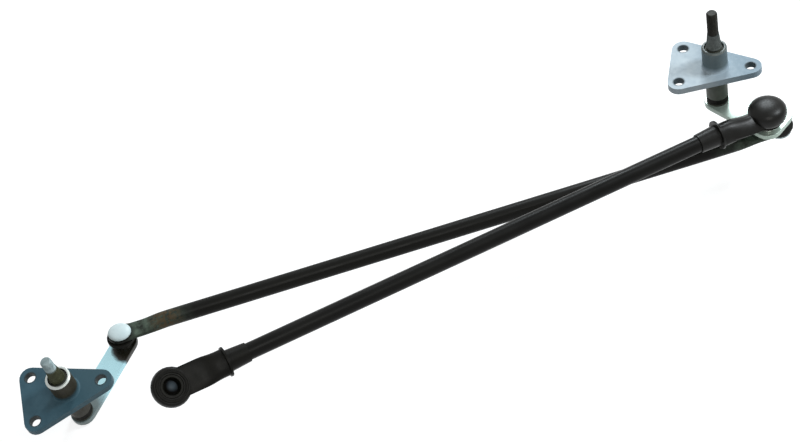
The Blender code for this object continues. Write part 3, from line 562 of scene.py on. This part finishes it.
THREAD_PITCH = 0.00125
THREAD_DEPTH = 0.00058
KNURL_TEETH = 36
KNURL_DEPTH = 0.00030
RING_POINTS = 48
ROWS_PER_PITCH = 8
CREST_SLOPE = 1.25
TIP_CHAMFER_HEIGHT = 0.0010
TIP_CHAMFER_DEPTH = 0.0009
CONE_STEPS = 14
CONE_BOTTOM = 0.0186
CONE_BASE_RADIUS = 0.0055
CONE_TOP_RADIUS = 0.00425
THREAD_BOTTOM = 0.0305
THREAD_RADIUS = 0.0040
SPINDLE_SHARP_ANGLE = math.radians(38)
# Radius and height of the shaft's rings, from the cone down to the riveted head
SHAFT_RINGS = [
    (0.0053, 0.0186),
    (0.0052, 0.0180),
    (0.0052, 0.0179),
    (0.0044, 0.0178),
    (0.0044, 0.0164),
    (0.0052, 0.0163),
    (0.0052, -0.0335),
    (0.0042, -0.0336),
    (0.0042, -0.0372),
    (0.0060, -0.0373),
    (0.0060, -0.0378),
    (0.0055, -0.0383),
    (0.0042, -0.0386),
    (0.0012, -0.0386),
]


def thread_rows(bottom, top, major):
    """Rings of a rolled thread, from its tip down."""
    rows = []
    step = THREAD_PITCH / ROWS_PER_PITCH
    count = int((top - bottom) / step)
    for k in range(count + 1):
        height = top - (top - bottom) * k / count
        ease = min(1.0, (top - height) / TIP_CHAMFER_HEIGHT)
        crest = major - TIP_CHAMFER_DEPTH * (1.0 - ease)

        def radius_at(share, height=height, crest=crest):
            groove = wave(height / THREAD_PITCH - share)
            return min(crest, major - THREAD_DEPTH * (1.0 - min(1.0, groove * CREST_SLOPE)))

        rows.append(turn(radius_at, height, RING_POINTS))
    return rows


def cone_rows(bottom, top, base, tip):
    """Rings of a knurled cone, from its narrow end down."""
    rows = []
    for k in range(CONE_STEPS + 1):
        share_down = k / CONE_STEPS
        height = top - (top - bottom) * share_down
        radius = tip + (base - tip) * share_down
        cut = 0.0 if k in (0, CONE_STEPS) else KNURL_DEPTH

        def radius_at(share, radius=radius, cut=cut):
            return radius - cut * (1.0 - wave(share * KNURL_TEETH))

        rows.append(turn(radius_at, height, KNURL_TEETH * 4))
    return rows


def spindle(name, node, foot, axis, tip, body, material):
    """Detailed spindle in place of the plain turned one."""
    shape = bmesh.new()
    grid(shape, thread_rows(THREAD_BOTTOM, tip, THREAD_RADIUS))
    grid(shape, cone_rows(CONE_BOTTOM, CONE_TOP, CONE_BASE_RADIUS, CONE_TOP_RADIUS))
    grid(shape, [turn(lambda share, radius=radius: radius, height, RING_POINTS) for radius, height in SHAFT_RINGS])
    mesh = bpy.data.meshes.new(name)
    shape.to_mesh(mesh)
    shape.free()
    obj = bpy.data.objects.new(name, mesh)
    bpy.context.scene.collection.objects.link(obj)
    upright = Vector((0, 0, 1)).rotation_difference(axis).to_matrix().to_4x4()
    mesh.transform(Matrix.Translation(foot) @ upright)
    mesh.shade_smooth()
    mesh.set_sharp_from_angle(angle=SPINDLE_SHARP_ANGLE)
    mesh.materials.append(material)
    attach(obj, body)
    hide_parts(node)


def top_of(node, foot, axis):
    """Height of a node's highest point over its foot, along the axis."""
    return max((vertex.co - foot).dot(axis) for vertex in nodes[node].data.vertices)


for side, foot, axis, material in (
    ("right", RIGHT_FOOT, RIGHT_AXIS, RIGHT_SPINDLE_STEEL),
    ("left", LEFT_FOOT, LEFT_AXIS, LEFT_SPINDLE_STEEL),
):
    node = side + "_spindle"
    tip = top_of(node, foot, axis)
    spindle(node + "_end", node, foot, axis, tip, side + "_lever", material)


# Floor
FLOOR_GREY = 0.42
FLOOR_GLOW = 0.78
FLOOR_SIZE = 6.0
FLOOR_MIDDLE_X = -0.25
FLOOR_GAP = 0.0005


def floor_material():
    """Grey floor that shows white and keeps the object's shadow."""
    material = bpy.data.materials.new("pale floor")
    material.use_nodes = True
    tree = material.node_tree
    tree.nodes.clear()
    output = tree.nodes.new("ShaderNodeOutputMaterial")
    add = tree.nodes.new("ShaderNodeAddShader")
    diffuse = tree.nodes.new("ShaderNodeBsdfDiffuse")
    diffuse.inputs["Color"].default_value = (FLOOR_GREY, FLOOR_GREY, FLOOR_GREY, 1.0)
    glow = tree.nodes.new("ShaderNodeEmission")
    seen = seen_directly(tree)
    level = tree.nodes.new("ShaderNodeMath")
    level.operation = "MULTIPLY"
    level.inputs[1].default_value = FLOOR_GLOW
    tree.links.new(seen, level.inputs[0])
    tree.links.new(level.outputs[0], glow.inputs["Strength"])
    tree.links.new(diffuse.outputs[0], add.inputs[0])
    tree.links.new(glow.outputs[0], add.inputs[1])
    tree.links.new(add.outputs[0], output.inputs["Surface"])
    return material


def seen_directly(tree):
    """1 for camera, glossy and transmission rays, 0 for the light that falls on the object."""
    path = tree.nodes.new("ShaderNodeLightPath")
    first = tree.nodes.new("ShaderNodeMath")
    first.operation = "MAXIMUM"
    second = tree.nodes.new("ShaderNodeMath")
    second.operation = "MAXIMUM"
    tree.links.new(path.outputs["Is Camera Ray"], first.inputs[0])
    tree.links.new(path.outputs["Is Glossy Ray"], first.inputs[1])
    tree.links.new(first.outputs[0], second.inputs[0])
    tree.links.new(path.outputs["Is Transmission Ray"], second.inputs[1])
    return second.outputs[0]


def add_floor(height):
    shape = bmesh.new()
    bmesh.ops.create_grid(shape, x_segments=2, y_segments=2, size=FLOOR_SIZE)
    mesh = bpy.data.meshes.new("floor")
    shape.to_mesh(mesh)
    shape.free()
    floor = bpy.data.objects.new("floor", mesh)
    bpy.context.scene.collection.objects.link(floor)
    floor.location = (FLOOR_MIDDLE_X, 0.0, height)
    floor.data.materials.append(floor_material())


add_floor(cad_bounds[0][2] - FLOOR_GAP)


# Lights
WORLD_LIGHT = 0.24
WORLD_SEEN = 1.0


def add_light(name, place, target, size, power, colour):
    data = bpy.data.lights.new(name, "AREA")
    data.color = colour
    data.shape = "SQUARE"
    data.size = size
    data.energy = power
    light = bpy.data.objects.new(name, data)
    bpy.context.scene.collection.objects.link(light)
    light.location = place
    light.rotation_euler = (Vector(target) - Vector(place)).to_track_quat("-Z", "Y").to_euler()


add_light("key", (0.40, 1.10, 1.10), (-0.15, -0.05, -0.03), 0.5, 16.5, (0.88, 0.96, 1.0))
add_light("top", (0.92, -0.17, 1.20), (-0.05, -0.05, -0.03), 0.42, 16.0, (0.90, 0.96, 1.0))
add_light("fill", (-0.15, -1.15, 1.22), (-0.22, -0.05, -0.03), 0.6, 5.5, (1.0, 1.0, 0.96))

world = bpy.data.worlds.new("studio")
bpy.context.scene.world = world
world.use_nodes = True
background = world.node_tree.nodes["Background"]
background.inputs["Color"].default_value = (1.0, 1.0, 1.0, 1.0)
strength = world.node_tree.nodes.new("ShaderNodeMapRange")
strength.inputs["To Min"].default_value = WORLD_LIGHT
strength.inputs["To Max"].default_value = WORLD_SEEN
world.node_tree.links.new(seen_directly(world.node_tree), strength.inputs["Value"])
world.node_tree.links.new(strength.outputs["Result"], background.inputs["Strength"])
bpy.context.scene.view_settings.view_transform = "Standard"


# Camera, solved from the photograph
ELEVATION = math.radians(44.45)
AZIMUTH = math.radians(-9.05)
ROLL = math.radians(10.69)
EYE = Vector((-0.22482, -0.11099, 1.9840))
LENS = 125.2
SENSOR_WIDTH = 36.0
tilt = Matrix.Rotation(ELEVATION - math.pi / 2, 3, "X")
to_camera = Matrix.Rotation(ROLL, 3, "Z") @ tilt @ Matrix.Rotation(-AZIMUTH, 3, "Z")
to_world = to_camera.transposed()
camera_data = bpy.data.cameras.new("camera")
camera_data.sensor_width = SENSOR_WIDTH
camera_data.lens = LENS
camera = bpy.data.objects.new("camera", camera_data)
bpy.context.scene.collection.objects.link(camera)
camera.matrix_world = Matrix.Translation(to_world @ EYE) @ to_world.to_4x4()
bpy.context.scene.camera = camera
